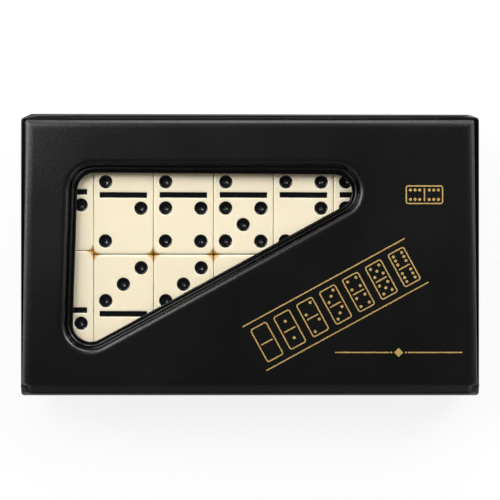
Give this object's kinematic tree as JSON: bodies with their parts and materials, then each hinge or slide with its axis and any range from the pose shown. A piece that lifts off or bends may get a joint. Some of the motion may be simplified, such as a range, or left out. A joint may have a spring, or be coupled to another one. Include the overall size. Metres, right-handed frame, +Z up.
{
  "type": "domino storage box",
  "caption": "Flat padded vinyl case for a double-six set of dominoes: hinged lid with a triangular window, snap-down front flap, and a tray in which the ivory tiles lie in layers.",
  "frame": {"origin": "centre of the closed case's footprint, on its underside", "axes": "+X along the case to its right-hand end, +Y from the front flap to the spine, +Z up"},
  "size_m": [0.1518, 0.094, 0.0186],
  "materials": {
    "vinyl": "fine-grained black vinyl leatherette, satin",
    "lining": "plain black vinyl lining, matte",
    "board": "greyboard",
    "foam": "open foam sheet",
    "film": "clear film",
    "ivory": "ivory plastic with black pips, satin",
    "stud_metal": "nickel-plated",
    "foil": "gold foil, hot stamped on the vinyl",
    "cap_paint": "black enamel, gloss"
  },
  "bodies": {
    "base": {"bottom_cover": "vinyl", "floor_board": "board", "front_wall_board": "board", "back_wall_board": "board", "left_wall_board": "board", "right_wall_board": "board", "wall_cover": "vinyl", "tray_lining": "lining", "spine_foam": "foam", "spine_cover": "vinyl", "hinge_fold": "vinyl", "snap_studs": "stud_metal", "snap_eyelets": "stud_metal"},
    "lid": {"lid_board": "board", "lid_foam": "foam", "lid_cover": "vinyl", "lid_lining": "lining", "window_film": "film", "flap_fold": "vinyl"},
    "flap": {"flap_board": "board", "flap_cover": "vinyl", "flap_lining": "lining", "snap_caps": "cap_paint", "snap_sockets": "stud_metal"},
    "row_back_lower": {"domino_0_1": "ivory", "domino_0_3": "ivory", "domino_0_4": "ivory", "domino_0_5": "ivory", "domino_0_6": "ivory", "domino_1_1": "ivory", "domino_1_2": "ivory"},
    "row_front_lower": {"domino_1_6": "ivory", "domino_2_3": "ivory", "domino_2_4": "ivory", "domino_2_5": "ivory", "domino_4_4": "ivory", "domino_4_5": "ivory", "domino_6_6": "ivory"},
    "row_back_upper": {"domino_2_2": "ivory", "domino_3_4": "ivory", "domino_3_5": "ivory", "domino_2_6": "ivory", "domino_5_6": "ivory", "domino_1_4": "ivory"},
    "row_front_upper": {"domino_3_3": "ivory", "domino_3_6": "ivory", "domino_1_5": "ivory", "domino_4_6": "ivory", "domino_0_0": "ivory", "domino_5_5": "ivory"},
    "first_tile_back": {"domino_0_2": "ivory"},
    "first_tile_front": {"domino_1_3": "ivory"}
  },
  "joints": [
    {"name": "lid_hinge", "type": "hinge", "parent": "base", "child": "lid", "pos_m": [0, 0.04632, 0.01535], "axis": [-1, 0, 0], "range_deg": [0, 175], "deforming": ["hinge_fold"]},
    {"name": "flap_hinge", "type": "hinge", "parent": "lid", "child": "flap", "pos_m": [0, -0.04342, 0.0156], "axis": [-1, 0, 0], "range_deg": [0, 135], "deforming": ["flap_fold"]},
    {"name": "slide_back_lower", "type": "slide", "parent": "base", "child": "row_back_lower", "axis": [1, 0, 0], "range_m": [0, 0.0043]},
    {"name": "slide_front_lower", "type": "slide", "parent": "base", "child": "row_front_lower", "axis": [1, 0, 0], "range_m": [0, 0.0043]},
    {"name": "slide_back_upper", "type": "slide", "parent": "base", "child": "row_back_upper", "axis": [1, 0, 0], "range_m": [0, 0.0043]},
    {"name": "slide_front_upper", "type": "slide", "parent": "base", "child": "row_front_upper", "axis": [1, 0, 0], "range_m": [0, 0.0043]},
    {"name": "shift_tile_back", "type": "slide", "parent": "base", "child": "first_tile_back", "axis": [0, 1, 0], "range_m": [0, 0.0015]},
    {"name": "shift_tile_front", "type": "slide", "parent": "base", "child": "first_tile_front", "axis": [0, -1, 0], "range_m": [0, 0.0022]}
  ]
}
